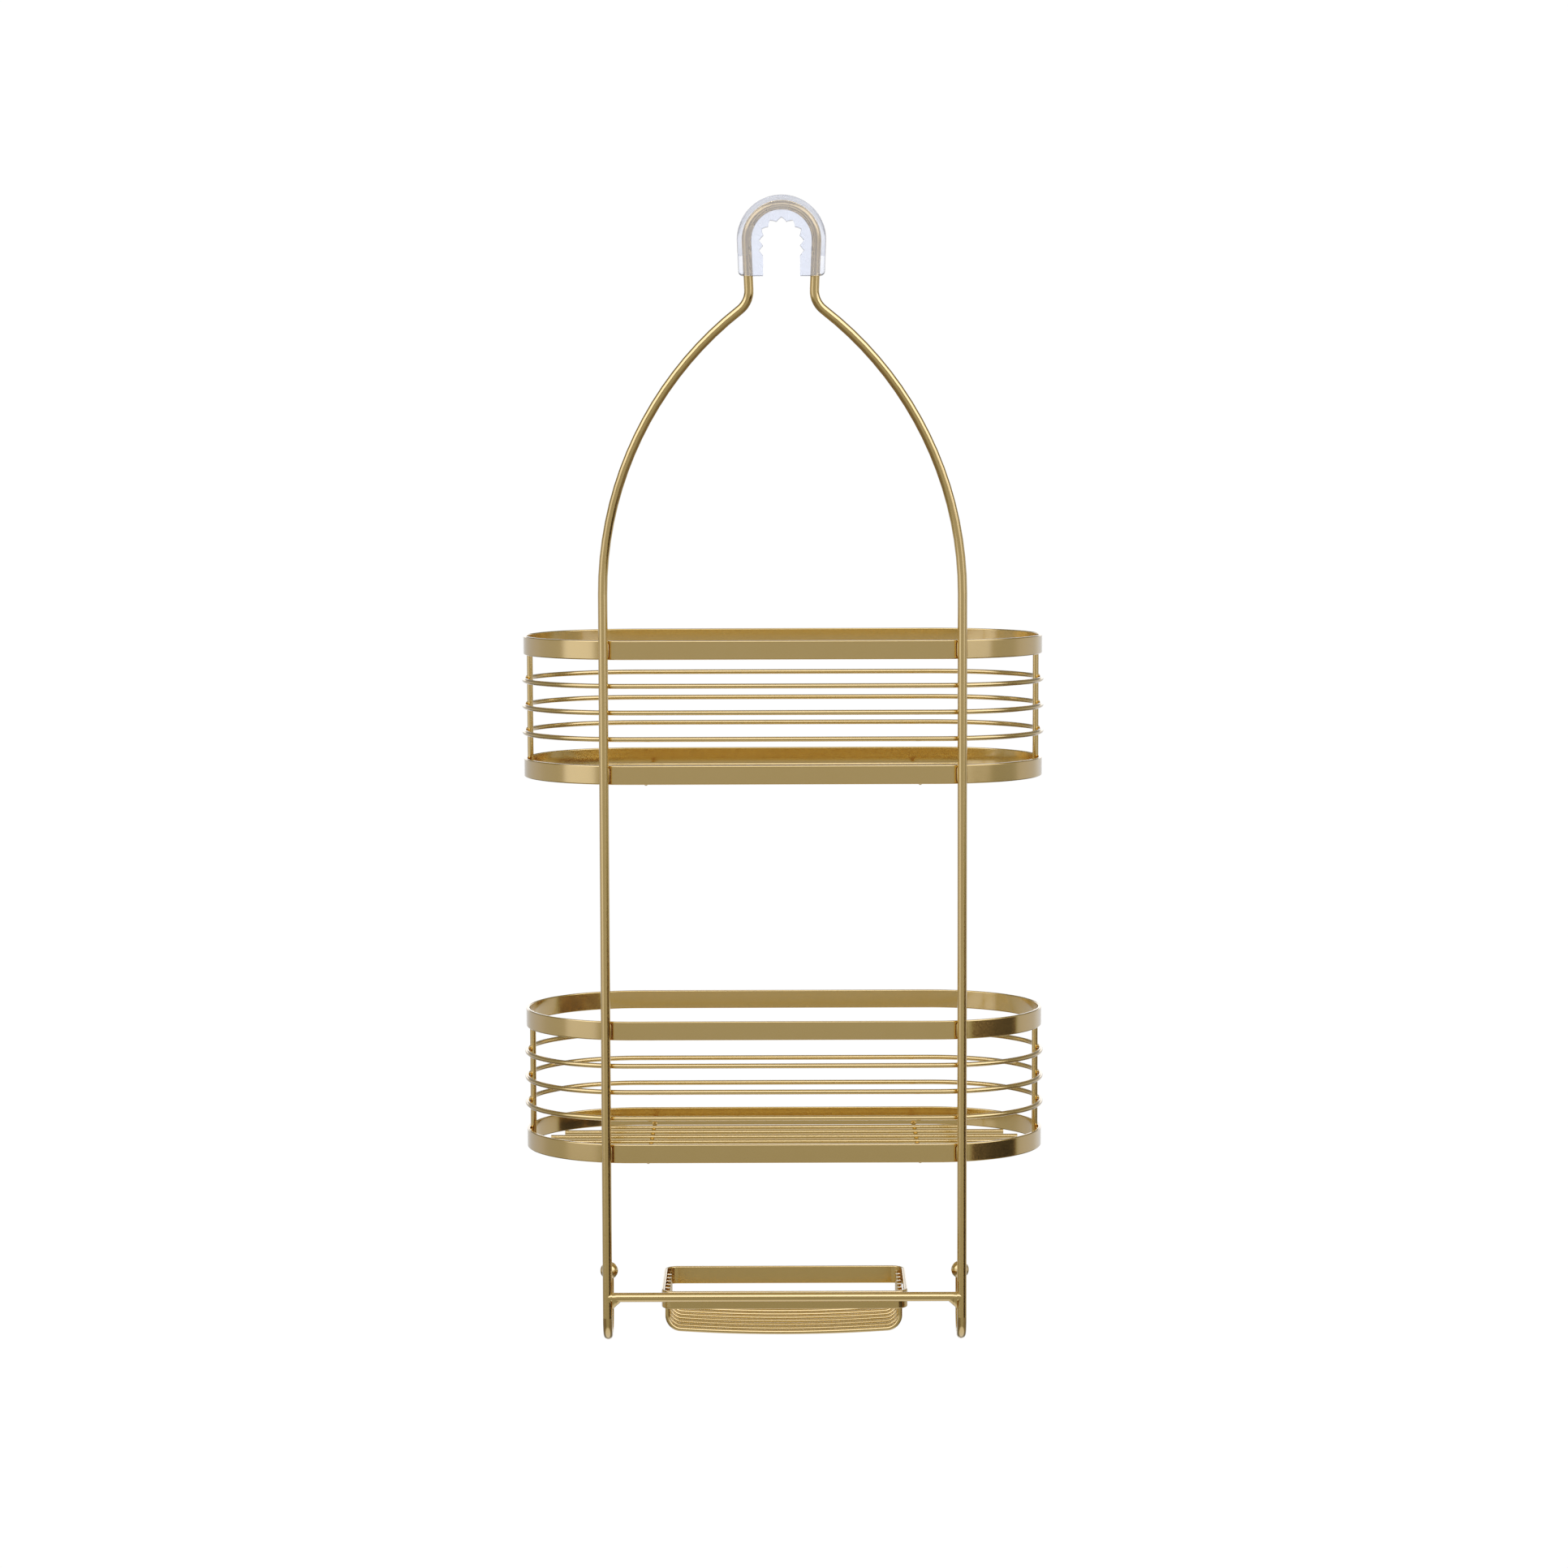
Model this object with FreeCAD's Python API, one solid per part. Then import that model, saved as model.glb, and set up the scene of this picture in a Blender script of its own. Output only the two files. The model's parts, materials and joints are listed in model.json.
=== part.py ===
"""Hanging shower caddy: a bent wire frame, two pill-shaped baskets, a soap dish and two end hooks.

Millimetres, +Z up, +X to the right, +Y from the wall side towards the person who uses it.
The origin is on the axis of the shower arm that the caddy hangs from, in the plane of the frame wire.
"""
import FreeCAD, Part
import math
import os

Vector = FreeCAD.Vector
X_AXIS = Vector(1, 0, 0)
Y_AXIS = Vector(0, 1, 0)
Z_AXIS = Vector(0, 0, 1)

# ---- driving dimensions -------------------------------------------------------------------
# Wire and bar stock
FRAME_DIAMETER = 5.5
RING_DIAMETER = 2.9
POST_DIAMETER = 3.5
FLOOR_DIAMETER = 2.9
DISH_WIRE_DIAMETER = 2.8
BAND_HEIGHT = 11.0
BAND_THICKNESS = 2.0
BAND_EDGE_ROUND = 0.7

# Frame wire
ARCH_RADIUS = 19.7
NECK_LEAN = 2.4
NECK_BOTTOM_Z = -28.0
SHOULDER_BEND_RADIUS = 13.5
SHOULDER_ARC_RADIUS = 203.5
LEG_SPACING = 204.8

# J-hooks at the two ends of the frame wire
HOOK_BOTTOM_Z = -633.5
HOOK_BEND_RADIUS = 12.5
HOOK_BALL_DIAMETER = 10.5
HOOK_BALL_Z = -595.7
HOOK_BALL_SOCKET = 3.5

# Soft sleeve over the arch
ARM_DIAMETER = 21.3
GRIP_SQUEEZE = 0.25
GRIP_OUTER_WALL = 2.85
GRIP_SIDE_WALL = 2.6
GRIP_TOOTH_DEPTH = 2.2
GRIP_TOOTH_PITCH = 5.6
GRIP_TEETH_PER_SIDE = 5
GRIP_BOTTOM_Z = -20.3
GRIP_SLIT_WIDTH = 1.2
GRIP_SLIT_BOTTOM_Z = -9.0

# Baskets
BASKET_WIDTH = 304.0
BASKET_DEPTH = 130.0
BASKET_HEIGHT = 82.6
UPPER_BASKET_TOP_Z = -226.6
LOWER_BASKET_TOP_Z = -445.9
FIRST_RING_DROP = 26.1
RING_PITCH = 15.25
RING_COUNT = 3
POST_END_INSET = 3.0
FLOOR_WIRE_HALF_LENGTHS = (108.0, 131.0, 138.5, 138.5, 131.0, 108.0)
FLOOR_WIRE_PITCH = 16.2
FLOOR_WIRE_LIFT = 1.0
SUPPORT_HALF_SPACING = 78.5
SUPPORT_DIAMETER = 2.5
SUPPORT_WELD_SINK = 0.9

# Crossbar and soap dish
CROSSBAR_Z = -606.3
DISH_RIM_WIDTH = 142.8
DISH_RIM_DEPTH = 73.0
DISH_RIM_HEIGHT = 10.5
DISH_RIM_TOP_Z = -603.6
DISH_RIM_CORNER = 8.0
DISH_WIRE_COUNT = 7
DISH_WIRE_PITCH = 9.3
DISH_WIRE_END_DROP = 1.5
DISH_WIRE_BEND_RADIUS = 8.0
DISH_WIRE_BOW = 2.0
DISH_BOTTOM_Z = -630.8

# ---- sizes that follow ----------------------------------------------------------------------
FRAME_RADIUS = FRAME_DIAMETER / 2
LEG_X = LEG_SPACING / 2
GRIP_TOOTH_RADIUS = ARM_DIAMETER / 2 - GRIP_SQUEEZE
BACK_OF_FRAME_Y = FRAME_RADIUS
BASKET_MID_Y = BACK_OF_FRAME_Y + BASKET_DEPTH / 2
BASKET_INNER_HALF_WIDTH = BASKET_WIDTH / 2 - BAND_THICKNESS
BASKET_INNER_HALF_DEPTH = BASKET_DEPTH / 2 - BAND_THICKNESS
TINY = 1e-3


class BentPath:
    """Centre line of a bent wire: straight runs and tangent bends, one after the other."""

    def __init__(self, start, heading):
        self.point = Vector(start)
        self.heading = Vector(heading).normalize()
        self.edges = []

    def run(self, length):
        end = self.point + self.heading * length
        self.edges.append(Part.LineSegment(self.point, end).toShape())
        self.point = end

    def bend(self, radius, degrees, towards):
        """Turn by the given angle towards a direction that is square to the heading."""
        side = Vector(towards).normalize()
        centre = self.point + side * radius

        def at(angle):
            radians = math.radians(angle)
            return centre - side * (radius * math.cos(radians)) + self.heading * (radius * math.sin(radians))

        end = at(degrees)
        self.edges.append(Part.Arc(self.point, at(degrees / 2), end).toShape())
        turn = math.radians(degrees)
        self.heading = self.heading * math.cos(turn) + side * math.sin(turn)
        self.point = end


def square_to(heading, towards):
    """The part of one direction that is square to a heading."""
    side = towards - heading * heading.dot(towards)
    return side.normalize()


def in_order(edges):
    return Part.Wire(Part.__sortEdges__(edges))


def round_wire(edges, diameter):
    """A round wire swept along joined edges."""
    spine = in_order(edges)
    first = spine.OrderedEdges[0]
    start = first.valueAt(first.FirstParameter)
    heading = first.tangentAt(first.FirstParameter)
    if first.Orientation == "Reversed":
        start = first.valueAt(first.LastParameter)
        heading = first.tangentAt(first.LastParameter) * -1
    section = Part.Wire(Part.Circle(start, heading, diameter / 2).toShape())
    return Part.Solid(spine.makePipeShell([section], True, False))


def straight_wire(start, end, diameter):
    direction = end - start
    return Part.makeCylinder(diameter / 2, direction.Length, start, direction)


def hoop_edges(half_x, half_y, corner, mid_y, z):
    """A level closed loop: a rectangle with round corners, or a pill when the corner is half_y."""
    edges = []
    straight_x = half_x - corner
    straight_y = half_y - corner
    for quarter in range(4):
        sign_x = 1 if quarter in (0, 3) else -1
        sign_y = 1 if quarter in (0, 1) else -1
        centre = Vector(sign_x * straight_x, mid_y + sign_y * straight_y, z)
        middle = math.radians(45 + 90 * quarter)
        points = []
        for angle in (middle - math.pi / 4, middle, middle + math.pi / 4):
            points.append(centre + Vector(corner * math.cos(angle), corner * math.sin(angle), 0))
        edges.append(Part.Arc(points[0], points[1], points[2]).toShape())
        along_x = quarter in (0, 2)
        length = 2 * (straight_x if along_x else straight_y)
        if length > TINY:
            direction = Vector(-sign_x, 0, 0) if along_x else Vector(0, -sign_y, 0)
            edges.append(Part.LineSegment(points[2], points[2] + direction * length).toShape())
    return edges


def flat_band(width, depth, height, corner, mid_y, top_z):
    """A hoop of flat bar standing on edge, with its long edges rounded."""
    shells = []
    for inset in (0.0, BAND_THICKNESS):
        loop = hoop_edges(width / 2 - inset, depth / 2 - inset, corner - inset, mid_y, top_z - height)
        shells.append(Part.Face(in_order(loop)).extrude(Z_AXIS * height))
    band = shells[0].cut(shells[1])
    level = [edge for edge in band.Edges if edge.BoundBox.ZLength < TINY]
    return band.makeFillet(BAND_EDGE_ROUND, level)


# ---- frame wire and hooks ---------------------------------------------------------------------
def half_frame_path(side):
    """Centre line from the top of the arch down to the end inside the hook's ball."""
    outward = X_AXIS * side
    path = BentPath(Vector(0, 0, ARCH_RADIUS), outward)
    path.bend(ARCH_RADIUS, 90 + NECK_LEAN, Z_AXIS * -1)
    lean = math.radians(NECK_LEAN)
    path.run((path.point.z - NECK_BOTTOM_Z) / math.cos(lean))
    spread = LEG_X - abs(path.point.x)
    both = SHOULDER_BEND_RADIUS + SHOULDER_ARC_RADIUS
    cosine = (SHOULDER_BEND_RADIUS * math.cos(lean) + SHOULDER_ARC_RADIUS - spread) / both
    shoulder = math.degrees(math.acos(cosine))
    path.bend(SHOULDER_BEND_RADIUS, NECK_LEAN + shoulder, square_to(path.heading, outward))
    path.bend(SHOULDER_ARC_RADIUS, shoulder, square_to(path.heading, outward * -1))
    hook_bend_z = HOOK_BOTTOM_Z + FRAME_RADIUS + HOOK_BEND_RADIUS
    path.run(path.point.z - hook_bend_z)
    path.bend(HOOK_BEND_RADIUS, 180, Y_AXIS)
    path.run(HOOK_BALL_Z - HOOK_BALL_DIAMETER / 2 + HOOK_BALL_SOCKET - path.point.z)
    return path


def frame_wire():
    edges = half_frame_path(1).edges + half_frame_path(-1).edges
    return round_wire(edges, FRAME_DIAMETER)


def hook_ball(side, frame):
    centre = Vector(side * LEG_X, 2 * HOOK_BEND_RADIUS, HOOK_BALL_Z)
    return Part.makeSphere(HOOK_BALL_DIAMETER / 2, centre).cut(frame)


# ---- soft sleeve ------------------------------------------------------------------------------
def tooth_point(distance, radius):
    """A point of the opening's outline, by its distance along the tooth tips from the top."""
    quarter = GRIP_TOOTH_RADIUS * math.pi / 2
    side = 1 if distance >= 0 else -1
    if abs(distance) < quarter:
        angle = distance / GRIP_TOOTH_RADIUS
        return Vector(radius * math.sin(angle), 0, radius * math.cos(angle))
    return Vector(side * radius, 0, quarter - abs(distance))


def grip_opening(depth):
    """The toothed space between the sleeve's two sides, open at the bottom."""
    points = []
    steps = 2 * GRIP_TEETH_PER_SIDE - 1
    valley_radius = GRIP_TOOTH_RADIUS + GRIP_TOOTH_DEPTH
    for step in range(-steps, steps + 1):
        radius = valley_radius if step % 2 == 0 else GRIP_TOOTH_RADIUS
        points.append(tooth_point(step * GRIP_TOOTH_PITCH / 2, radius))
    below = GRIP_BOTTOM_Z * 2
    points.append(Vector(GRIP_TOOTH_RADIUS, 0, below))
    points.append(Vector(-GRIP_TOOTH_RADIUS, 0, below))
    points.append(points[0])
    outline = Part.Face(Part.makePolygon(points))
    outline.translate(Y_AXIS * (-depth / 2))
    return outline.extrude(Y_AXIS * depth)


def grip_body(depth):
    """The sleeve as a plain U: round on its outer edge, square towards the opening."""
    reach = ARCH_RADIUS + FRAME_RADIUS + GRIP_OUTER_WALL
    lean = math.radians(NECK_LEAN)
    shrink = (-GRIP_BOTTOM_Z) * math.tan(lean)
    bottom = reach - shrink
    arc_end = Vector(reach * math.cos(lean), 0, -reach * math.sin(lean))
    top = Vector(0, 0, reach)
    left_end = Vector(-arc_end.x, 0, arc_end.z)
    right_foot = Vector(bottom, 0, GRIP_BOTTOM_Z)
    left_foot = Vector(-bottom, 0, GRIP_BOTTOM_Z)
    edges = []
    edges.append(Part.Arc(left_end, top, arc_end).toShape())
    edges.append(Part.LineSegment(arc_end, right_foot).toShape())
    edges.append(Part.LineSegment(right_foot, left_foot).toShape())
    edges.append(Part.LineSegment(left_foot, left_end).toShape())
    face = Part.Face(in_order(edges))
    face.translate(Y_AXIS * (-depth / 2))
    return face.extrude(Y_AXIS * depth)


def arm_grip(frame):
    depth = FRAME_DIAMETER + 2 * GRIP_SIDE_WALL
    body = grip_body(depth)
    outer = []
    for edge in body.Edges:
        runs_across = edge.BoundBox.YLength > TINY
        at_bottom = edge.CenterOfMass.z < GRIP_BOTTOM_Z + TINY
        if runs_across == at_bottom:
            outer.append(edge)
    body = body.makeFillet(GRIP_SIDE_WALL, outer)
    body = body.cut(grip_opening(2 * depth))
    slit_start = Vector(0, -GRIP_SLIT_WIDTH / 2, 0)
    slit_outer = Part.makeCylinder(2 * ARCH_RADIUS, GRIP_SLIT_WIDTH, slit_start, Y_AXIS)
    slit_inner = Part.makeCylinder(ARCH_RADIUS, GRIP_SLIT_WIDTH, slit_start, Y_AXIS)
    span = 4 * ARCH_RADIUS
    above = Part.makeBox(span, span, span, Vector(-span / 2, -span / 2, GRIP_SLIT_BOTTOM_Z))
    body = body.cut(slit_outer.cut(slit_inner).common(above))
    return body.cut(frame)


# ---- baskets ----------------------------------------------------------------------------------
def ring(z):
    half_x = BASKET_INNER_HALF_WIDTH + RING_DIAMETER / 2
    half_y = BASKET_DEPTH / 2 - RING_DIAMETER / 2
    return round_wire(hoop_edges(half_x, half_y, half_y, BASKET_MID_Y, z), RING_DIAMETER)


def end_post(side, top_z):
    x = side * (BASKET_INNER_HALF_WIDTH - POST_DIAMETER / 2)
    top = Vector(x, BASKET_MID_Y, top_z - POST_END_INSET)
    bottom = Vector(x, BASKET_MID_Y, top_z - BASKET_HEIGHT + POST_END_INSET)
    return straight_wire(bottom, top, POST_DIAMETER)


def floor_wires(z):
    """The straight floor wires of one basket, shorter towards the front and the back."""
    wires = []
    for index, half_length in enumerate(FLOOR_WIRE_HALF_LENGTHS):
        offset = (index - (len(FLOOR_WIRE_HALF_LENGTHS) - 1) / 2) * FLOOR_WIRE_PITCH
        start = Vector(-half_length, BASKET_MID_Y + offset, z)
        wires.append(straight_wire(start, start + X_AXIS * (2 * half_length), FLOOR_DIAMETER))
    return wires


def floor_support(side, z, wires):
    """A cross wire welded under the floor wires, with its ends against the inside of the band."""
    start = Vector(side * SUPPORT_HALF_SPACING, BASKET_MID_Y - BASKET_INNER_HALF_DEPTH, z)
    support = Part.makeCylinder(SUPPORT_DIAMETER / 2, 2 * BASKET_INNER_HALF_DEPTH, start, Y_AXIS)
    return support.cut(wires)


def basket(name, top_z):
    """All the nodes of one basket, by name."""
    bottom_z = top_z - BASKET_HEIGHT
    pill = BASKET_DEPTH / 2
    nodes = {}
    for word, band_top_z in (("top", top_z), ("bottom", bottom_z + BAND_HEIGHT)):
        band = flat_band(BASKET_WIDTH, BASKET_DEPTH, BAND_HEIGHT, pill, BASKET_MID_Y, band_top_z)
        nodes["%s_%s_band" % (name, word)] = band
    for index in range(RING_COUNT):
        ring_z = top_z - FIRST_RING_DROP - index * RING_PITCH
        nodes[name + "_ring_%d" % (index + 1)] = ring(ring_z)
    floor_z = bottom_z + FLOOR_DIAMETER / 2 + FLOOR_WIRE_LIFT
    wires = floor_wires(floor_z)
    for index, wire in enumerate(wires):
        nodes[name + "_floor_wire_%d" % (index + 1)] = wire
    support_z = floor_z - (FLOOR_DIAMETER + SUPPORT_DIAMETER) / 2 + SUPPORT_WELD_SINK
    for word, side in (("left", -1), ("right", 1)):
        nodes[name + "_end_post_" + word] = end_post(side, top_z)
        nodes[name + "_floor_support_" + word] = floor_support(side, support_z, wires)
    return nodes


# ---- crossbar and soap dish -------------------------------------------------------------------
def crossbar(frame):
    start = Vector(-LEG_X, 0, CROSSBAR_Z)
    return straight_wire(start, start + X_AXIS * LEG_SPACING, FRAME_DIAMETER).cut(frame)


def soap_dish_wire(y):
    """A U-shaped wire: its ends stand against the rim's end walls and its bottom bows down."""
    half_x = DISH_RIM_WIDTH / 2 - BAND_THICKNESS - DISH_WIRE_DIAMETER / 2
    bottom_half = half_x - DISH_WIRE_BEND_RADIUS
    bow_turn = math.degrees(2 * DISH_WIRE_BOW / bottom_half)
    bow_radius = bottom_half / math.sin(math.radians(bow_turn))
    corner_drop = DISH_WIRE_BEND_RADIUS * math.sin(math.radians(90 - bow_turn))
    start_z = DISH_RIM_TOP_Z - DISH_WIRE_END_DROP
    end_z = DISH_BOTTOM_Z + DISH_WIRE_DIAMETER / 2 + DISH_WIRE_BOW + corner_drop
    path = BentPath(Vector(-half_x, y, start_z), Z_AXIS * -1)
    path.run(start_z - end_z)
    path.bend(DISH_WIRE_BEND_RADIUS, 90 - bow_turn, X_AXIS)
    path.bend(bow_radius, 2 * bow_turn, square_to(path.heading, Z_AXIS))
    path.bend(DISH_WIRE_BEND_RADIUS, 90 - bow_turn, square_to(path.heading, Z_AXIS))
    path.run(start_z - end_z)
    return round_wire(path.edges, DISH_WIRE_DIAMETER)


def soap_dish():
    """The rim and the wires of the soap dish, by name."""
    mid_y = BACK_OF_FRAME_Y + DISH_RIM_DEPTH / 2
    rim = flat_band(DISH_RIM_WIDTH, DISH_RIM_DEPTH, DISH_RIM_HEIGHT, DISH_RIM_CORNER, mid_y, DISH_RIM_TOP_Z)
    nodes = {"soap_dish_rim": rim}
    for index in range(DISH_WIRE_COUNT):
        y = mid_y + (index - (DISH_WIRE_COUNT - 1) / 2) * DISH_WIRE_PITCH
        nodes["soap_dish_wire_%d" % (index + 1)] = soap_dish_wire(y)
    return nodes


def main():
    frame = frame_wire()
    nodes = {"frame_wire": frame, "arm_grip": arm_grip(frame), "crossbar": crossbar(frame)}
    for word, side in (("left", -1), ("right", 1)):
        nodes["hook_ball_" + word] = hook_ball(side, frame)
    nodes.update(basket("upper_basket", UPPER_BASKET_TOP_Z))
    nodes.update(basket("lower_basket", LOWER_BASKET_TOP_Z))
    nodes.update(soap_dish())
    os.makedirs("parts", exist_ok=True)
    for name, shape in nodes.items():
        shape.exportStep("parts/%s.step" % name)
        print(name, "valid" if shape.isValid() else "INVALID", len(shape.Solids), round(shape.Volume, 1))


main()
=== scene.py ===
import itertools
import json
import math

import bmesh
import bpy
from mathutils import Matrix, Vector, noise


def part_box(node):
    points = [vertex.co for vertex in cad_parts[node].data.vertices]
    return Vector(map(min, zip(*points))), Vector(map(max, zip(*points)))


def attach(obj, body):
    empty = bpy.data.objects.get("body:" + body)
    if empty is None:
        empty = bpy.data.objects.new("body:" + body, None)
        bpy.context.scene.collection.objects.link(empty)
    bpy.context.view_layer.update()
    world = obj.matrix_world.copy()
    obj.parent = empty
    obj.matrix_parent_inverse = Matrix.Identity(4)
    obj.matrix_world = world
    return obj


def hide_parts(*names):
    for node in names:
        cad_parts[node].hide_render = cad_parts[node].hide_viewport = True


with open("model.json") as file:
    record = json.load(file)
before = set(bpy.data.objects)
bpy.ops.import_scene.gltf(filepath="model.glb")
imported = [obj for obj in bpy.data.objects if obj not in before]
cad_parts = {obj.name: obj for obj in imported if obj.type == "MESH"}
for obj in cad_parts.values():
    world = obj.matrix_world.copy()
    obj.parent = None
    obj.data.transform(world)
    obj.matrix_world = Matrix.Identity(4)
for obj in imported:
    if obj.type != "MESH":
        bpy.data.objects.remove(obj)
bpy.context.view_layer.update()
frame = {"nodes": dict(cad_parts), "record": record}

# ---- sizes, in metres in the frame of the part ---------------------------------------------------
MM = 0.001


def middle(node):
    low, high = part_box(node)
    return (low + high) / 2


LEG_X = middle("hook_ball_right").x
CROSSBAR_LOW, CROSSBAR_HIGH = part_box("crossbar")
WIRE_RADIUS = (CROSSBAR_HIGH.z - CROSSBAR_LOW.z) / 2
CROSSBAR_Z = middle("crossbar").z
GRIP_LOW, GRIP_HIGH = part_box("arm_grip")
FRAME_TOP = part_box("frame_wire")[1].z
BASKETS = ("upper_basket", "lower_basket")
SIDES = (-1, 1)

# ---- camera ----------------------------------------------------------------------------------------
CAMERA_PLACE = Vector((0.0005, -2.3867, -0.0886))
CAMERA_PITCH_DOWN = 0.0919
CAMERA_ROLL = -0.003
CAMERA_LENS = 96.29
CAMERA_SENSOR = 36.0


def make_camera():
    forward = Vector((0, math.cos(CAMERA_PITCH_DOWN), -math.sin(CAMERA_PITCH_DOWN)))
    level_right = Vector((1, 0, 0))
    level_up = level_right.cross(forward)
    right = level_right * math.cos(CAMERA_ROLL) + level_up * math.sin(CAMERA_ROLL)
    up = level_up * math.cos(CAMERA_ROLL) - level_right * math.sin(CAMERA_ROLL)
    data = bpy.data.cameras.new("camera")
    data.lens = CAMERA_LENS
    data.sensor_width = CAMERA_SENSOR
    camera = bpy.data.objects.new("camera", data)
    turn = Matrix((right, up, -forward)).transposed().to_4x4()
    camera.matrix_world = Matrix.Translation(CAMERA_PLACE) @ turn
    bpy.context.scene.collection.objects.link(camera)
    bpy.context.scene.camera = camera


# ---- node helpers ----------------------------------------------------------------------------------
class Nodes:
    """Adds nodes to a tree and joins them, with short calls."""

    def __init__(self, tree):
        self.tree = tree
        tree.nodes.clear()

    def add(self, kind, inputs=None, **settings):
        node = self.tree.nodes.new(kind)
        for name, value in settings.items():
            setattr(node, name, value)
        for name, value in (inputs or {}).items():
            self.put(node.inputs[name], value)
        return node

    def put(self, socket, value):
        if isinstance(value, bpy.types.NodeSocket):
            self.tree.links.new(value, socket)
        else:
            socket.default_value = value

    def math(self, operation, first, second=0.0):
        return self.add("ShaderNodeMath", {0: first, 1: second}, operation=operation).outputs[0]

    def smooth(self, value, low, high):
        """0 below low, 1 above high, and a smooth step between them."""
        node = self.add("ShaderNodeMapRange", {"Value": value, "From Min": low, "From Max": high})
        node.interpolation_type = "SMOOTHSTEP"
        return node.outputs["Result"]

    def ramp(self, value, low, high, to_low, to_high):
        node = self.add("ShaderNodeMapRange", {
            "Value": value, "From Min": low, "From Max": high, "To Min": to_low, "To Max": to_high})
        return node.outputs["Result"]

    def mix(self, factor, first, second):
        node = self.add("ShaderNodeMix", data_type="RGBA")
        self.put(node.inputs["Factor"], factor)
        self.put(node.inputs["A"], first)
        self.put(node.inputs["B"], second)
        return node.outputs["Result"]


# ---- studio ----------------------------------------------------------------------------------------
# Soft panels of light round the object, each laid over the ones before it. Angles in degrees:
# azimuth 0 is the camera's side and positive to the right, elevation is above the horizon.
#   name, azimuth from, to, edge, elevation from, to, edge, strength
PANELS = (
    ("room", -180, 180, 1, -90, 90, 1, 0.45),
    ("low_sides", -180, 180, 1, -52, -13, 5, 0.22),
    ("low_front", -36, 46, 6, -50, -13, 4, 0.35),
    ("below", -180, 180, 1, -90, -56, 5, 0.72),
    ("high_back", -180, 180, 1, 6, 55, 4, 0.26),
    ("overhead", -180, 180, 1, 72, 90, 5, 0.42),
    ("top_box", -72, 72, 8, 20, 54, 4, 1.90),
    ("top_left", -80, -32, 5, 12, 54, 4, 1.75),
    ("top_right", 30, 80, 5, 9, 54, 3, 1.90),
    ("backdrop_left", -180, -112, 8, -14, 5, 3, 0.48),
    ("backdrop_right", 98, 180, 8, -14, 5, 3, 0.52),
    ("backdrop_far_left", -180, -150, 8, -20, 5, 3, 0.56),
    ("backdrop_far_right", 140, 180, 8, -20, 5, 3, 0.62),
    ("backdrop_behind_left", -180, -164, 5, -40, 5, 3, 0.90),
    ("backdrop_behind_right", 164, 180, 5, -40, 5, 3, 0.90),
    ("behind_sleeve_left", -180, -150, 4, 0, 12, 1, 1.30),
    ("behind_sleeve_right", 150, 180, 4, 0, 12, 1, 1.30),
    ("left_box", -76, -40, 4, -9, 17, 2, 0.92),
    ("right_box", 32, 62, 4, -4.2, 17, 1, 0.95),
    ("dark_right", 40, 98, 3, -15, -6.4, 1.5, 0.05),
)
WHITE = 1.02


def make_world():
    world = bpy.data.worlds.new("studio")
    bpy.context.scene.world = world
    world.use_nodes = True
    n = Nodes(world.node_tree)
    place = n.add("ShaderNodeTexCoord").outputs["Generated"]
    axes = n.add("ShaderNodeSeparateXYZ", {0: place}).outputs
    backwards = n.math("MULTIPLY", axes["Y"], -1.0)
    azimuth = n.math("DEGREES", n.math("ARCTAN2", axes["X"], backwards))
    elevation = n.math("DEGREES", n.math("ARCSINE", axes["Z"]))
    total = 0.0
    for _name, az_from, az_to, az_edge, el_from, el_to, el_edge, strength in PANELS:
        cover = 1.0
        for angle, low, high, edge in (
                (azimuth, az_from, az_to, az_edge), (elevation, el_from, el_to, el_edge)):
            if low > -90 or (angle is azimuth and low > -180):
                cover = n.math("MULTIPLY", cover, n.smooth(angle, low - edge, low + edge))
            if high < 90 or (angle is azimuth and high < 180):
                cover = n.math("MULTIPLY", cover, n.smooth(angle, high + edge, high - edge))
        total = n.ramp(cover, 0.0, 1.0, total, strength)
    lit = n.add("ShaderNodeBackground", {"Color": (1, 1, 1, 1), "Strength": total})
    seen = n.add("ShaderNodeBackground", {"Color": (1, 1, 1, 1), "Strength": WHITE})
    camera_ray = n.add("ShaderNodeLightPath").outputs["Is Camera Ray"]
    both = n.add("ShaderNodeMixShader", {0: camera_ray, 1: lit.outputs[0], 2: seen.outputs[0]})
    n.add("ShaderNodeOutputWorld", {"Surface": both.outputs[0]})


FLOOR_Z = -1.35
FLOOR_HALF = 7.0


def make_floor():
    mesh = bpy.data.meshes.new("floor")
    corners = [(x * FLOOR_HALF, y * FLOOR_HALF, FLOOR_Z) for x, y in ((-1, -1), (1, -1), (1, 1), (-1, 1))]
    mesh.from_pydata(corners, [], [(0, 1, 2, 3)])
    floor = bpy.data.objects.new("floor", mesh)
    bpy.context.scene.collection.objects.link(floor)
    material = bpy.data.materials.new("floor_paper")
    material.use_nodes = True
    n = Nodes(material.node_tree)
    paper = n.add("ShaderNodeEmission", {"Color": (1, 1, 1, 1), "Strength": WHITE})
    n.add("ShaderNodeOutputMaterial", {"Surface": paper.outputs[0]})
    mesh.materials.append(material)
    floor.visible_glossy = False
    floor.visible_diffuse = False


# ---- materials ---------------------------------------------------------------------------------------
BRASS = (0.71, 0.515, 0.24, 1)
BRASS_DEEP = (0.69, 0.495, 0.225, 1)
BRASS_ROUGHNESS = 0.18
BRASS_ROUGHNESS_SPREAD = 0.03
GRAIN_SHARE = 0.7
CLOUD_SHARE = 0.3
FLAKE_SHARE = 0.35
# Most of a noise texture's values lie between these.
NOISE_LOW = 0.3
NOISE_HIGH = 0.7


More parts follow.
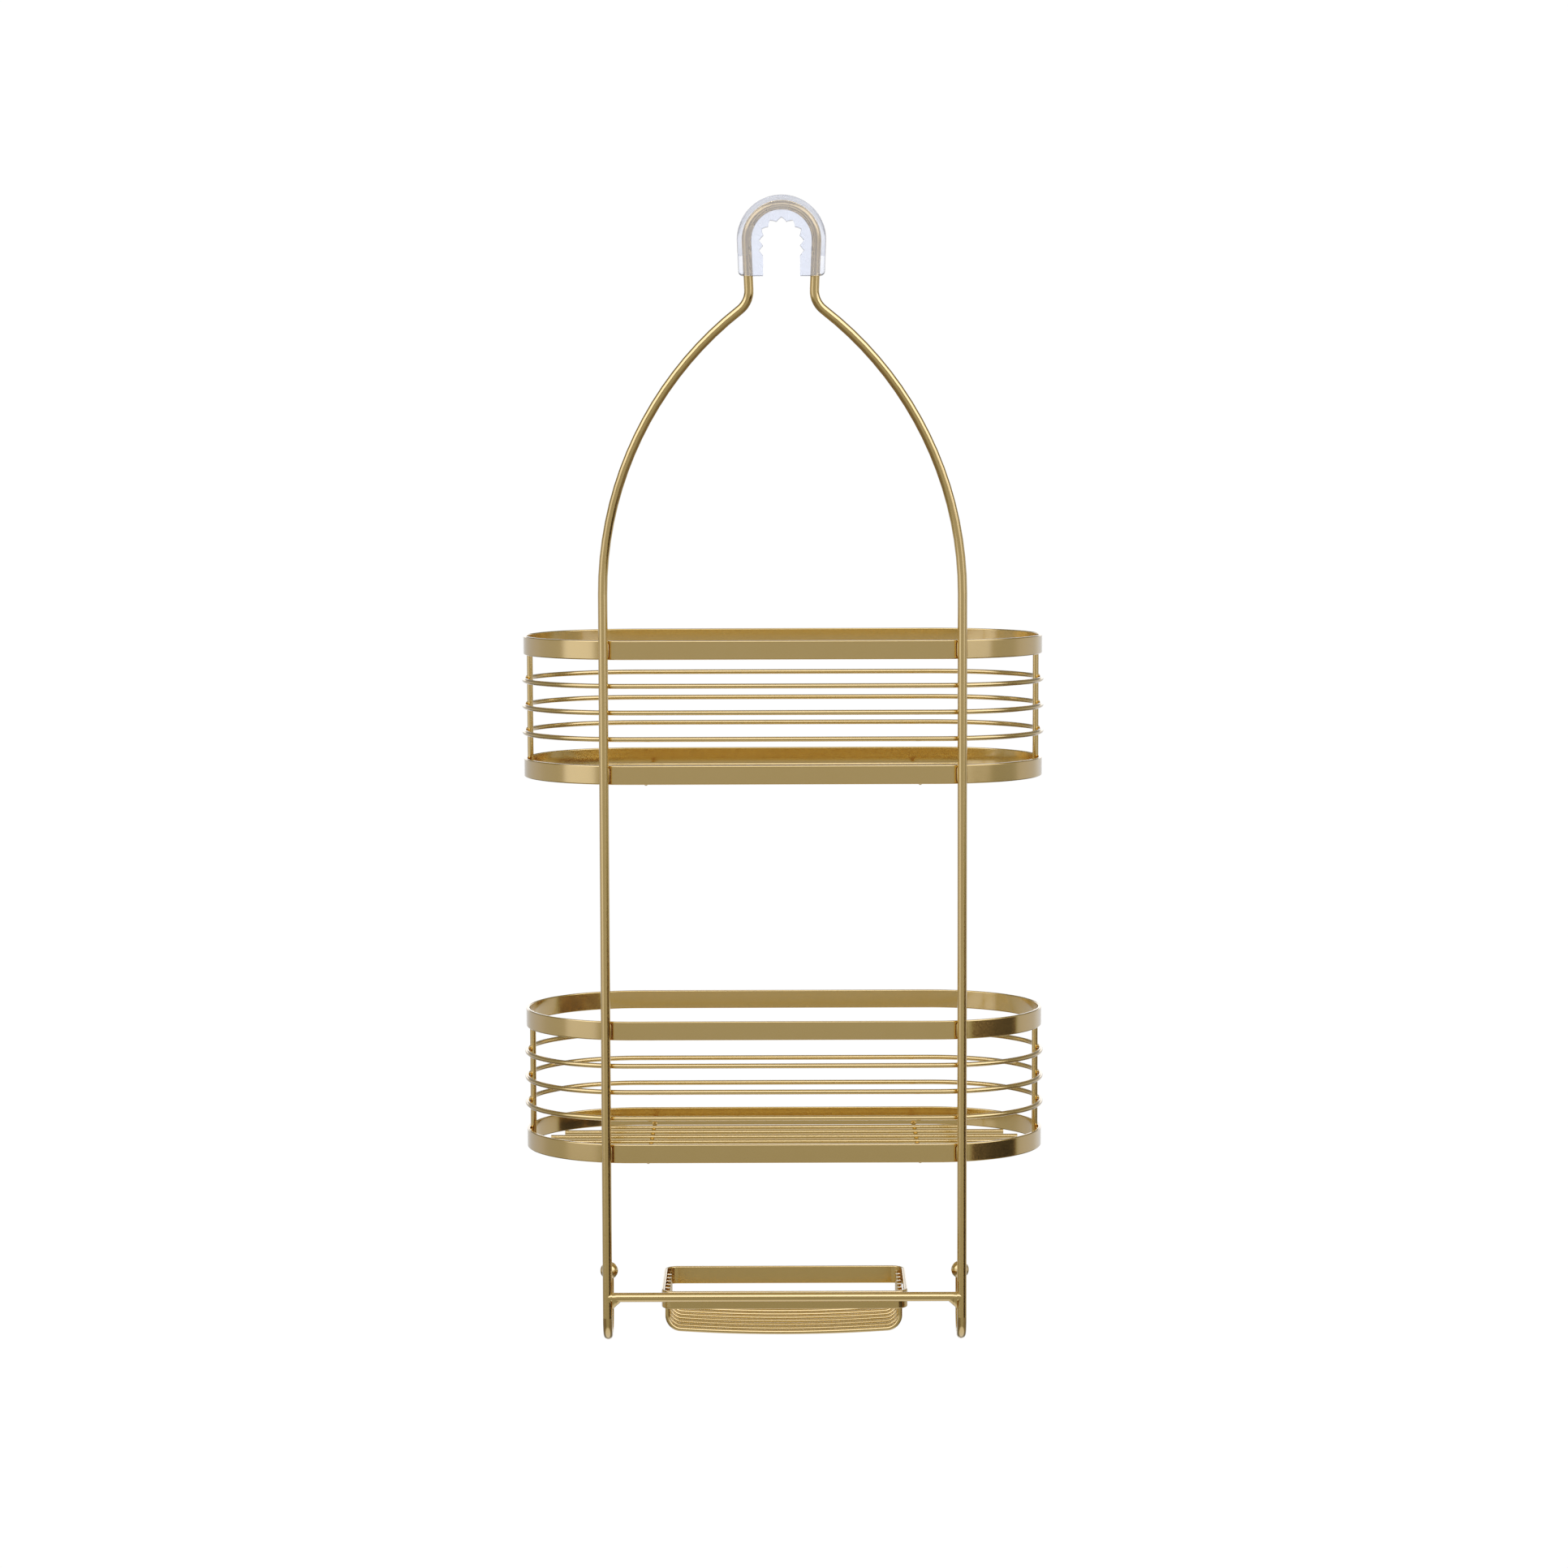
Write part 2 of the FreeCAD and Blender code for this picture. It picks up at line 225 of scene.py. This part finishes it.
def brass_material():
    """Metallic lacquer: fine flakes that tilt the surface a little, under a satin clear layer."""
    material = bpy.data.materials.new("brass_finish")
    material.use_nodes = True
    n = Nodes(material.node_tree)
    place = n.add("ShaderNodeTexCoord").outputs["Object"]
    flakes = n.add("ShaderNodeTexVoronoi", {"Vector": place, "Scale": 1900.0}, feature="F1")
    grain = n.add("ShaderNodeTexNoise", {"Vector": place, "Scale": 1100.0, "Detail": 3.0, "Roughness": 0.6})
    cloud = n.add("ShaderNodeTexNoise", {"Vector": place, "Scale": 60.0, "Detail": 3.0, "Roughness": 0.55})
    peel = n.add("ShaderNodeTexNoise", {"Vector": place, "Scale": 420.0, "Detail": 2.0})
    fine = n.math("MULTIPLY", grain.outputs["Fac"], GRAIN_SHARE)
    broad = n.math("MULTIPLY", cloud.outputs["Fac"], CLOUD_SHARE)
    tone = n.math("ADD", fine, broad)
    colour = n.mix(n.smooth(tone, 0.32, 0.68), BRASS_DEEP, BRASS)
    speck = n.add("ShaderNodeSeparateColor", {"Color": flakes.outputs["Color"]}).outputs["Red"]
    height = n.math("ADD", n.math("MULTIPLY", speck, FLAKE_SHARE), peel.outputs["Fac"])
    bump = n.add("ShaderNodeBump", {"Strength": 0.012, "Distance": 0.0002, "Height": height})
    smoothest = BRASS_ROUGHNESS - BRASS_ROUGHNESS_SPREAD
    roughest = BRASS_ROUGHNESS + BRASS_ROUGHNESS_SPREAD
    roughness = n.ramp(grain.outputs["Fac"], NOISE_LOW, NOISE_HIGH, smoothest, roughest)
    shader = n.add("ShaderNodeBsdfPrincipled", {
        "Base Color": colour, "Metallic": 1.0, "Roughness": roughness, "Normal": bump.outputs[0],
        "Coat Weight": 1.0, "Coat Roughness": 0.07, "Coat IOR": 1.6})
    n.add("ShaderNodeOutputMaterial", {"Surface": shader.outputs[0]})
    return material


SILICONE_MILKY = (0.80, 0.84, 0.965, 1)
SILICONE_CLEAR = (0.91, 0.925, 0.975, 1)
# inside the wire, outside the wire
SILICONE_CLEARNESS = (0.74, 0.86)
SILICONE_ROUGHNESS = (0.10, 0.06)
SILICONE_SPREAD = 0.03
# The clearer wall starts and ends at these distances beyond the top of the wire.
CLEAR_FROM = -1.2 * MM
CLEAR_TO = 0.4 * MM


def silicone_material():
    """Cloudy silicone: milky from the teeth to the wire, clearer in the wall outside the wire."""
    material = bpy.data.materials.new("soft_grip")
    material.use_nodes = True
    n = Nodes(material.node_tree)
    place = n.add("ShaderNodeTexCoord").outputs["Object"]
    axes = n.add("ShaderNodeSeparateXYZ", {0: place}).outputs
    above = n.math("MAXIMUM", axes["Z"], 0.0)
    squares = n.math("ADD", n.math("MULTIPLY", axes["X"], axes["X"]), n.math("MULTIPLY", above, above))
    distance = n.math("SQRT", squares)
    outer = n.smooth(distance, FRAME_TOP + CLEAR_FROM, FRAME_TOP + CLEAR_TO)
    haze = n.add("ShaderNodeTexNoise", {"Vector": place, "Scale": 220.0, "Detail": 3.0})
    cloud = n.add("ShaderNodeTexNoise", {"Vector": place, "Scale": 70.0, "Detail": 2.0})
    colour = n.mix(outer, SILICONE_MILKY, SILICONE_CLEAR)
    bump = n.add("ShaderNodeBump", {"Strength": 0.02, "Distance": 0.0003, "Height": haze.outputs["Fac"]})
    clearness = n.math(
        "ADD", n.ramp(outer, 0.0, 1.0, *SILICONE_CLEARNESS),
        n.ramp(cloud.outputs["Fac"], NOISE_LOW, NOISE_HIGH, -SILICONE_SPREAD, SILICONE_SPREAD))
    roughness = n.math(
        "ADD", n.ramp(outer, 0.0, 1.0, *SILICONE_ROUGHNESS),
        n.ramp(haze.outputs["Fac"], NOISE_LOW, NOISE_HIGH, -SILICONE_SPREAD, SILICONE_SPREAD))
    shader = n.add("ShaderNodeBsdfPrincipled", {
        "Base Color": colour, "Roughness": roughness, "IOR": 1.41,
        "Transmission Weight": clearness, "Normal": bump.outputs[0]})
    n.add("ShaderNodeOutputMaterial", {"Surface": shader.outputs[0]})
    return material


def dress_nodes(brass, silicone):
    slots = {s["node"]: s["material_slot"] for s in frame["record"]["subparts"]}
    for name, piece in frame["nodes"].items():
        material = silicone if slots[name] == "soft_grip" else brass
        piece.data.materials.clear()
        piece.data.materials.append(material)
        for face in piece.data.polygons:
            face.material_index = 0


# ---- mesh helpers --------------------------------------------------------------------------------------
def finish_piece(name, mesh_builder, material, sharp_degrees):
    """Turns a bmesh into a piece that rides on the root body."""
    bmesh.ops.remove_doubles(mesh_builder, verts=mesh_builder.verts, dist=0.01 * MM)
    bmesh.ops.recalc_face_normals(mesh_builder, faces=mesh_builder.faces)
    mesh = bpy.data.meshes.new(name)
    mesh_builder.to_mesh(mesh)
    mesh_builder.free()
    mesh.materials.append(material)
    mesh.shade_smooth()
    mesh.set_sharp_from_angle(angle=math.radians(sharp_degrees))
    piece = bpy.data.objects.new(name, mesh)
    bpy.context.scene.collection.objects.link(piece)
    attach(piece, "root")
    return piece


def loft(mesh_builder, sections):
    """A closed skin over sections of equal length, with a flat face on each end."""
    rows = [[mesh_builder.verts.new(point) for point in section] for section in sections]
    count = len(rows[0])
    for row, following in zip(rows, rows[1:]):
        for index in range(count):
            after = (index + 1) % count
            mesh_builder.faces.new((row[index], row[after], following[after], following[index]))
    mesh_builder.faces.new(rows[0])
    mesh_builder.faces.new(rows[-1])


BEAD_UNEVEN = 0.22
BEAD_UNEVEN_SCALE = 1.6


def uneven(point, amount, scale, seed):
    """A small push that makes a hand-laid weld a little uneven."""
    return amount * noise.noise(point * scale + Vector((seed, 2.0 * seed, 3.0 * seed)))


def bead(mesh_builder, place, size, seed):
    """One weld bead: a rounded lump with an uneven skin. Its size is three half-widths."""
    made = bmesh.ops.create_icosphere(mesh_builder, subdivisions=3, radius=1.0)
    for vert in made["verts"]:
        push = 1.0 + uneven(vert.co, BEAD_UNEVEN, BEAD_UNEVEN_SCALE, seed)
        flat = vert.co * push
        vert.co = Vector(place) + Vector((flat.x * size[0], flat.y * size[1], flat.z * size[2]))


# ---- soft sleeve ---------------------------------------------------------------------------------------
SLEEVE_HALF_DEPTH = (GRIP_HIGH.y - GRIP_LOW.y) / 2
SLEEVE_REACH = GRIP_HIGH.z
SLEEVE_BOTTOM = GRIP_LOW.z
SLEEVE_WIRE_CENTRE = FRAME_TOP - WIRE_RADIUS
SLEEVE_TIP_RADIUS = 10.4 * MM
SLEEVE_TOOTH_DEPTH = 2.2 * MM
SLEEVE_TOOTH_HALF_PITCH = 2.8 * MM
SLEEVE_TOOTH_STEPS = 9
SLEEVE_LEAN = math.radians(2.4)
SLEEVE_ROUND = 2.6 * MM
SLEEVE_TOOTH_ROUND = 0.25 * MM
SLEEVE_FOOT_ROUND = 0.6 * MM
SLIT_HALF = 0.6 * MM
SLIT_BOTTOM = -9.0 * MM
SLEEVE_STATION = 0.7 * MM
SLEEVE_END_BEVEL = 0.3 * MM
SLEEVE_FOOT_STATIONS = tuple(d * MM for d in (8.0, 5.0, 2.6, 1.9, 1.3, 0.9, 0.6, 0.35, 0.15, 0.05, 0.0))
SLIT_END_STEP = 0.02 * MM
SLIT_END_CLEAR = 0.2 * MM


def sleeve_opening(distance):
    """Radius of the toothed opening, by the distance along the tooth tips from the top."""
    steps = abs(distance) / SLEEVE_TOOTH_HALF_PITCH
    if steps >= SLEEVE_TOOTH_STEPS:
        return SLEEVE_TIP_RADIUS
    near = abs(steps % 2 - 1)
    return SLEEVE_TIP_RADIUS + SLEEVE_TOOTH_DEPTH * near


def sleeve_station(distance, inset, slit):
    """One section across the sleeve: a rounded bar with the slit down its outer side."""
    quarter = SLEEVE_TIP_RADIUS * math.pi / 2
    side = 1 if distance >= 0 else -1
    inner = sleeve_opening(distance)
    if abs(distance) <= quarter:
        angle = distance / SLEEVE_TIP_RADIUS
        direction = Vector((math.sin(angle), 0, math.cos(angle)))
        base = Vector((0, 0, 0))
        outer = SLEEVE_REACH
        wire = SLEEVE_WIRE_CENTRE
    else:
        drop = abs(distance) - quarter
        direction = Vector((side, 0, 0))
        base = Vector((0, 0, -drop))
        outer = SLEEVE_REACH - drop * math.tan(SLEEVE_LEAN)
        wire = SLEEVE_WIRE_CENTRE - drop * math.tan(SLEEVE_LEAN)
        foot = base.z - SLEEVE_BOTTOM
        if foot < SLEEVE_ROUND:
            outer -= SLEEVE_ROUND - math.sqrt(SLEEVE_ROUND ** 2 - (SLEEVE_ROUND - foot) ** 2)
        if foot < SLEEVE_FOOT_ROUND:
            short = SLEEVE_FOOT_ROUND - foot
            inner += SLEEVE_FOOT_ROUND - math.sqrt(SLEEVE_FOOT_ROUND ** 2 - short ** 2)
    depth = SLEEVE_HALF_DEPTH - inset
    bottom_of_slit = wire if slit else outer
    outline = [(inner + SLEEVE_TOOTH_ROUND, depth)]
    for turn in range(0, 91, 10):
        a = math.radians(turn)
        outline.append((outer - SLEEVE_ROUND * (1 - math.sin(a)), depth - SLEEVE_ROUND * (1 - math.cos(a))))
    outline.append((outer, SLIT_HALF))
    outline.append((bottom_of_slit, SLIT_HALF))
    back = [(radius, -y) for radius, y in reversed(outline)]
    front = [(inner, -depth + SLEEVE_TOOTH_ROUND), (inner, depth - SLEEVE_TOOTH_ROUND)]
    return [base + direction * radius + Vector((0, y, 0)) for radius, y in outline + back + front]


def make_sleeve(silicone):
    quarter = SLEEVE_TIP_RADIUS * math.pi / 2
    end = quarter - SLEEVE_BOTTOM
    slit_end = quarter - SLIT_BOTTOM
    half = []
    distance = 0.0
    while distance < SLEEVE_TOOTH_STEPS * SLEEVE_TOOTH_HALF_PITCH + SLEEVE_STATION / 2:
        half.append(distance)
        distance += SLEEVE_STATION
    half = [d for d in half if abs(d - slit_end) > SLIT_END_CLEAR]
    half += [slit_end, slit_end + SLIT_END_STEP]
    half += [end - foot for foot in SLEEVE_FOOT_STATIONS]
    half.sort()
    stations = [-d for d in reversed(half[1:])] + half
    builder = bmesh.new()
    sections = []
    for distance in stations:
        inset = max(0.0, SLEEVE_END_BEVEL - (end - abs(distance)))
        sections.append(sleeve_station(distance, inset, abs(distance) <= slit_end))
    loft(builder, sections)
    piece = finish_piece("arm_grip_sleeve", builder, silicone, 28)
    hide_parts("arm_grip")


# ---- welds -----------------------------------------------------------------------------------------------
FLARE_LENGTH = 4.9 * MM
FLARE_DROP = 4.3 * MM
FLARE_COLLAR = 2.4 * MM
FLARE_SWELL = 0.22 * MM
FLARE_WEB = 0.30
FLARE_STEP = 0.25 * MM
FLARE_POINTS = 40
FLARE_TAIL_SINK = 0.12 * MM
FLARE_END_SINK = 0.15 * MM
FLARE_TOP_SINK = 0.05 * MM
FLARE_NARROWEST = 0.2 * MM
FLARE_LEG_COVER = 0.9 * MM
FLARE_UNEVEN = 0.08 * MM
FLARE_UNEVEN_SCALE = 420.0


def flare_section(side, out):
    """Section of the weld, by the distance out from the leg's surface (negative inside the leg)."""
    web = max(0.0, 1.0 - max(out, 0.0) / FLARE_LENGTH)
    collar = max(0.0, 1.0 - max(out, 0.0) / FLARE_COLLAR)
    sunk = FLARE_TAIL_SINK if collar == 0 else 0.0
    half_wide = WIRE_RADIUS + FLARE_SWELL * collar ** 0.5 - sunk
    if out < 0:
        leg_half = math.sqrt(max(0.0, WIRE_RADIUS ** 2 - (WIRE_RADIUS + out) ** 2))
        half_wide = min(half_wide, leg_half + FLARE_LEG_COVER * (WIRE_RADIUS + out) / WIRE_RADIUS)
    half_wide = max(half_wide, FLARE_NARROWEST)
    low = WIRE_RADIUS + FLARE_DROP * web - (FLARE_END_SINK if web == 0 else 0.0)
    high = WIRE_RADIUS - FLARE_TOP_SINK
    x = side * (LEG_X - WIRE_RADIUS - out)
    section = []
    for index in range(FLARE_POINTS):
        angle = 2 * math.pi * index / FLARE_POINTS
        up = math.cos(angle)
        narrow = 1.0 - FLARE_WEB * web * max(0.0, -up)
        reach = high if up > 0 else low
        point = Vector((x, half_wide * narrow * math.sin(angle), CROSSBAR_Z + reach * up))
        outward = (point - Vector((x, 0, CROSSBAR_Z))).normalized()
        section.append(point + outward * uneven(point, FLARE_UNEVEN, FLARE_UNEVEN_SCALE, side + 5))
    return section


def make_crossbar_welds(brass):
    """Weld metal that runs from the underside of the crossbar down to each leg."""
    for side, word in zip(SIDES, ("left", "right")):
        builder = bmesh.new()
        steps = range(round(-WIRE_RADIUS / FLARE_STEP), round(FLARE_LENGTH / FLARE_STEP) + 1)
        loft(builder, [flare_section(side, step * FLARE_STEP) for step in steps])
        finish_piece("crossbar_weld_" + word, builder, brass, 50)


FILLET_RADIUS = 0.9 * MM
FILLET_HALF_HEIGHT = 4.6 * MM
FILLET_ARC_STEPS = 6
FILLET_SINK = 0.15 * MM
FILLET_INNER_X = 0.8 * MM
FILLET_INNER_Y = 1.2 * MM
# It tapers at both ends: share of the half height, share of the radius.
FILLET_TAPER = (
    (-1.0, 0.3), (-0.95, 0.6), (-0.85, 0.85), (-0.7, 1.0), (0.7, 1.0), (0.85, 0.85), (0.95, 0.6), (1.0, 0.3))


def fillet_section(leg_x, toward, z, radius):
    """Section of the metal that fills the crevice between a leg and the band behind it."""
    touch = 2 * math.sqrt(WIRE_RADIUS * radius)
    centre = Vector((touch, WIRE_RADIUS - radius))
    start = math.atan2(-centre.y, -centre.x)
    turn = -math.pi * 1.5 - start
    outline = []
    for step in range(FILLET_ARC_STEPS + 1):
        angle = start + turn * step / FILLET_ARC_STEPS
        outline.append(centre + Vector((math.cos(angle), math.sin(angle))) * radius)
    sunk = WIRE_RADIUS + FILLET_SINK
    outline += [Vector(corner) for corner in (
        (touch, sunk), (FILLET_INNER_X, sunk), (FILLET_INNER_X, FILLET_INNER_Y))]
    return [Vector((leg_x + toward * point.x, point.y, z)) for point in outline]


# Each bead's half-widths in X, Y and Z, and where it sits.
RING_BEAD = (0.8 * MM, 0.8 * MM, 1.2 * MM)
RING_BEAD_SIDES = ((-1, 0.85), (1, 0.65))
RING_BEAD_OUT = 2.0 * MM
RING_BEAD_FORWARD = 0.1 * MM
RING_BEAD_DROP = 0.4 * MM
POST_RING_BEAD = (0.8 * MM, 1.1 * MM, 0.8 * MM)
POST_RING_RISE = 1.5 * MM
POST_BAND_BEAD = (0.6 * MM, 0.7 * MM, 2.2 * MM)
POST_BAND_FROM_END = 4.5 * MM
POST_BAND_INSET = 0.4 * MM
POST_BAND_SPREAD = 1.3 * MM
SUPPORT_BEAD = (1.6 * MM, 0.7 * MM, 1.1 * MM)
SUPPORT_BEAD_INWARD = 0.3 * MM
SUPPORT_BEAD_RISE = 1.5 * MM
FIRST_SEEDS = {"upper_basket": 1, "lower_basket": 60}


def leg_welds(builder, basket, rings, seeds):
    """Beads where the rings cross the legs, and fillets where the bands do."""
    leg_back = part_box(basket + "_top_band")[0].y
    for side in SIDES:
        for ring in rings:
            for offset, size in RING_BEAD_SIDES:
                x = side * LEG_X + offset * RING_BEAD_OUT
                at = (x, leg_back - RING_BEAD_FORWARD, ring.z - RING_BEAD_DROP)
                wide, deep, tall = RING_BEAD
                bead(builder, at, (wide * size, deep, tall), next(seeds))
        for band in ("_top_band", "_bottom_band"):
            z = middle(basket + band).z
            for toward in SIDES:
                loft(builder, [
                    fillet_section(
                        side * LEG_X, toward, z + height * FILLET_HALF_HEIGHT, size * FILLET_RADIUS)
                    for height, size in FILLET_TAPER])


def post_welds(builder, basket, side, word, rings, seeds):
    """Beads between an end post and the rings, and along the post where it lies against the bands."""
    low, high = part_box(basket + "_end_post_" + word)
    post = (low + high) / 2
    edge = (high if side > 0 else low).x
    for ring in rings:
        bead(builder, (edge, post.y, ring.z + POST_RING_RISE), POST_RING_BEAD, next(seeds))
    for z in (low.z + POST_BAND_FROM_END, high.z - POST_BAND_FROM_END):
        for front in SIDES:
            at = (edge - side * POST_BAND_INSET, post.y + front * POST_BAND_SPREAD, z)
            bead(builder, at, POST_BAND_BEAD, next(seeds))


def support_welds(builder, basket, word, seeds):
    """Beads that hold the ends of a floor support to the bottom band."""
    low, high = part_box(basket + "_floor_support_" + word)
    for y, inward in ((low.y, 1), (high.y, -1)):
        at = ((low.x + high.x) / 2, y + inward * SUPPORT_BEAD_INWARD, low.z + SUPPORT_BEAD_RISE)
        bead(builder, at, SUPPORT_BEAD, next(seeds))


def make_basket_welds(brass):
    """Welds where a basket's wires and bands meet the legs, the posts and each other."""
    for basket in BASKETS:
        builder = bmesh.new()
        seeds = itertools.count(FIRST_SEEDS[basket])
        rings = [middle(basket + "_ring_%d" % number) for number in (1, 2, 3)]
        leg_welds(builder, basket, rings, seeds)
        for side, word in zip(SIDES, ("left", "right")):
            post_welds(builder, basket, side, word, rings, seeds)
            support_welds(builder, basket, word, seeds)
        finish_piece(basket + "_welds", builder, brass, 60)


DISH_WIRES = 7
DISH_BEAD = (0.55 * MM, 0.6 * MM, 1.1 * MM)
DISH_BEAD_INWARD = 0.5 * MM
DISH_BEAD_SPREAD = 1.0 * MM
DISH_BEAD_BELOW_TOP = 2.0 * MM
DISH_BEAD_ABOVE_RIM_FOOT = 1.0 * MM
RIM_BEAD = (6.5 * MM, 0.8 * MM, 0.8 * MM)
RIM_BEAD_X = 45.0 * MM
RIM_BEAD_FORWARD = 0.3 * MM
RIM_BEAD_RISE = 0.6 * MM
DISH_FIRST_SEED = 200


def make_dish_welds(brass):
    """Beads that hold the dish's wires to its rim, and the rim to the crossbar."""
    builder = bmesh.new()
    seeds = itertools.count(DISH_FIRST_SEED)
    rim_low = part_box("soap_dish_rim")[0]
    for number in range(1, DISH_WIRES + 1):
        low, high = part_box("soap_dish_wire_%d" % number)
        y = (low.y + high.y) / 2
        for x, inward in ((low.x, 1), (high.x, -1)):
            for z in (high.z - DISH_BEAD_BELOW_TOP, rim_low.z + DISH_BEAD_ABOVE_RIM_FOOT):
                for front in SIDES:
                    at = (x + inward * DISH_BEAD_INWARD, y + front * DISH_BEAD_SPREAD, z)
                    bead(builder, at, DISH_BEAD, next(seeds))
    for side in SIDES:
        at = (side * RIM_BEAD_X, rim_low.y - RIM_BEAD_FORWARD, CROSSBAR_LOW.z + RIM_BEAD_RISE)
        bead(builder, at, RIM_BEAD, next(seeds))
    finish_piece("soap_dish_welds", builder, brass, 60)


# ---- tone --------------------------------------------------------------------------------------------
# A little more contrast, as a studio picture is finished: scene value, shown value.
TONE_POINTS = ((0.045, 0.023), (0.188, 0.202), (0.456, 0.503))


def set_tone():
    view = bpy.context.scene.view_settings
    view.view_transform = "Standard"
    view.use_curve_mapping = True
    for place, value in TONE_POINTS:
        view.curve_mapping.curves[3].points.new(place, value)
    view.curve_mapping.update()


# ---- build -------------------------------------------------------------------------------------------
set_tone()
make_camera()
make_world()
make_floor()
brass = brass_material()
silicone = silicone_material()
dress_nodes(brass, silicone)
make_sleeve(silicone)
make_crossbar_welds(brass)
make_basket_welds(brass)
make_dish_welds(brass)
